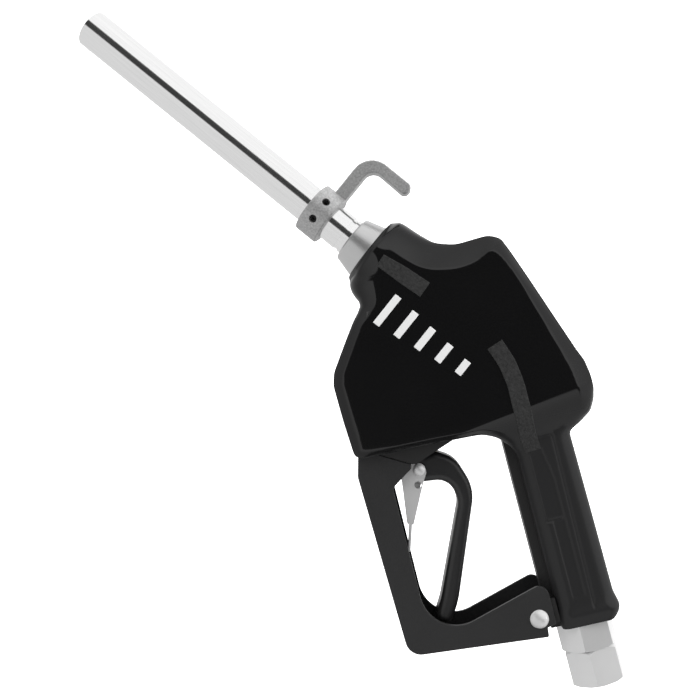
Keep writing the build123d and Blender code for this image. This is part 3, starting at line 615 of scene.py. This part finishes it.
class NOZZLE_OT_stage(bpy.types.Operator):
    """Set the floor, the lights and the camera"""

    bl_idname = "nozzle.stage"
    bl_label = "Studio"

    def execute(self, context):
        backdrop()
        softbox("key", (-0.75, -0.9, 1.25), (-0.08, 0, 0.25), 0.7, 0.7, 8.0)
        softbox("side", (1.15, -0.25, -0.1), (0.0, 0, 0.12), 0.5, 1.1, 12.0)
        softbox("top", (0.5, 0.1, 1.3), (-0.05, 0, 0.25), 0.7, 0.6, 10.0)
        context.scene.world = surround()
        context.scene.view_settings.view_transform = "Standard"
        camera(context)
        return {"FINISHED"}


def surround():
    """Pale room, dimmer below the spout, with a narrow dark strip in front that runs along the spout's
    direction. Brightness is a function of a direction's shares across the spout and towards the front."""
    world = bpy.data.worlds.new("studio")
    world.use_nodes = True
    tree = world.node_tree
    place = tree.nodes.new("ShaderNodeTexCoord")
    across, parts = tree.nodes.new("ShaderNodeVectorMath"), tree.nodes.new("ShaderNodeSeparateXYZ")
    across.operation = "DOT_PRODUCT"
    across.inputs[1].default_value = (ACROSS_DIR[0], 0.0, ACROSS_DIR[1])
    tree.links.new(place.outputs["Generated"], across.inputs[0])
    tree.links.new(place.outputs["Generated"], parts.inputs[0])
    pale = ranged(tree, across.outputs["Value"], -0.5, 0.5, 0.76, 1.04)
    offset = math_node(tree, "SUBTRACT", across.outputs["Value"], 0.1)
    strip = ranged(tree, math_node(tree, "ABSOLUTE", offset, 0.0), 0.25, 0.30, 1.0, 0.0)
    front = ranged(tree, parts.outputs["Y"], -0.2, -0.5, 0.0, 0.95)
    dark = math_node(tree, "SUBTRACT", 1.0, math_node(tree, "MULTIPLY", strip, front))
    tree.links.new(math_node(tree, "MULTIPLY", pale, dark), tree.nodes["Background"].inputs["Strength"])
    tree.nodes["Background"].inputs["Color"].default_value = (1, 1, 1, 1)
    return world


def ranged(tree, value, low, high, at_low, at_high):
    """Smooth step of a socket from one output value to another; returns its output."""
    node = tree.nodes.new("ShaderNodeMapRange")
    node.interpolation_type = "SMOOTHSTEP"
    for key, number in (("From Min", low), ("From Max", high), ("To Min", at_low), ("To Max", at_high)):
        node.inputs[key].default_value = number
    tree.links.new(value, node.inputs["Value"])
    return node.outputs["Result"]


def backdrop():
    """Floor that curves up into a wall: an L with a quarter-circle bend, carried sideways."""
    bend = np.linspace(0.0, math.pi / 2, 24)
    y = np.concatenate([[-4.0, 0.2], 0.2 + 0.9 * np.sin(bend), [1.1]])
    z = np.concatenate([[-0.75, -0.75], 0.15 - 0.9 * np.cos(bend), [4.0]])
    x = np.array([-5.0, 5.0])
    rows = (np.repeat(x[None], len(y), 0), np.repeat(y[:, None], 2, 1), np.repeat(z[:, None], 2, 1))
    points = np.stack(rows, 2)
    a = np.arange(len(y) - 1) * 2
    faces = np.stack([a, a + 1, a + 3, a + 2], 1)
    mesh = bpy.data.meshes.new("studio_floor")
    mesh.from_pydata(points.reshape(-1, 3).tolist(), [], faces.tolist())
    mesh.shade_smooth()
    floor = bpy.data.objects.new("studio_floor", mesh)
    bpy.context.collection.objects.link(floor)
    material = bpy.data.materials.new("studio paper")
    material.use_nodes = True
    body = material.node_tree.nodes["Principled BSDF"]
    body.inputs["Base Color"].default_value = (0.9, 0.9, 0.9, 1)
    body.inputs["Roughness"].default_value = 0.9
    body.inputs["Emission Color"].default_value = (1, 1, 1, 1)
    body.inputs["Emission Strength"].default_value = settings().backdrop_light
    mesh.materials.append(material)
    floor.visible_glossy = floor.visible_diffuse = False


def softbox(name, place, target, width, height, power):
    """Rectangular area light at a place, turned to a target."""
    data = bpy.data.lights.new(name, "AREA")
    data.shape, data.size, data.size_y, data.energy = "RECTANGLE", width, height, power
    light = bpy.data.objects.new(name, data)
    light.location = place
    light.visible_glossy = False
    light.rotation_euler = (Vector(target) - Vector(place)).to_track_quat("-Z", "Y").to_euler()
    bpy.context.collection.objects.link(light)


def camera(context):
    """Camera in front of the body, leaning so that the grip slants as a hand holds it."""
    place, target = Vector((-0.0693, -0.600, 0.2184)), Vector((-0.0977, 0.0, 0.2335))
    forward = (target - place).normalized()
    right = forward.cross(Vector((0.2504, 0.0, 0.9681))).normalized()
    up = right.cross(forward)
    data = bpy.data.cameras.new("view")
    data.lens, data.sensor_width = 49.4, 36.0
    view = bpy.data.objects.new("view", data)
    view.matrix_world = Matrix.Translation(place) @ Matrix((right, up, -forward)).transposed().to_4x4()
    bpy.context.collection.objects.link(view)
    context.scene.camera = view


class NOZZLE_PT_panel(bpy.types.Panel):
    """Sidebar panel that lists the settings and the steps"""

    bl_label = "Fuel nozzle"
    bl_idname = "NOZZLE_PT_panel"
    bl_space_type = "VIEW_3D"
    bl_region_type = "UI"
    bl_category = "Nozzle"

    def draw(self, context):
        for key in NozzleSettings.__annotations__:
            self.layout.prop(context.scene.nozzle, key)
        for step in STEPS:
            self.layout.operator(step.bl_idname)


STEPS = (NOZZLE_OT_effects, NOZZLE_OT_cover, NOZZLE_OT_pads, NOZZLE_OT_marks, NOZZLE_OT_metal,
         NOZZLE_OT_black_parts, NOZZLE_OT_stage)
CLASSES = (NozzleSettings, *STEPS, NOZZLE_PT_panel)


def register():
    for cls in CLASSES:
        bpy.utils.register_class(cls)
    bpy.types.Scene.nozzle = bpy.props.PointerProperty(type=NozzleSettings)


def unregister():
    del bpy.types.Scene.nozzle
    for cls in reversed(CLASSES):
        bpy.utils.unregister_class(cls)


def main():
    """Registers the add-on and runs each step in order."""
    register()
    bpy.ops.nozzle.effects()
    bpy.ops.nozzle.cover()
    bpy.ops.nozzle.pads()
    bpy.ops.nozzle.marks()
    bpy.ops.nozzle.metal()
    bpy.ops.nozzle.black_parts()
    bpy.ops.nozzle.stage()


if __name__ == "__main__":
    main()
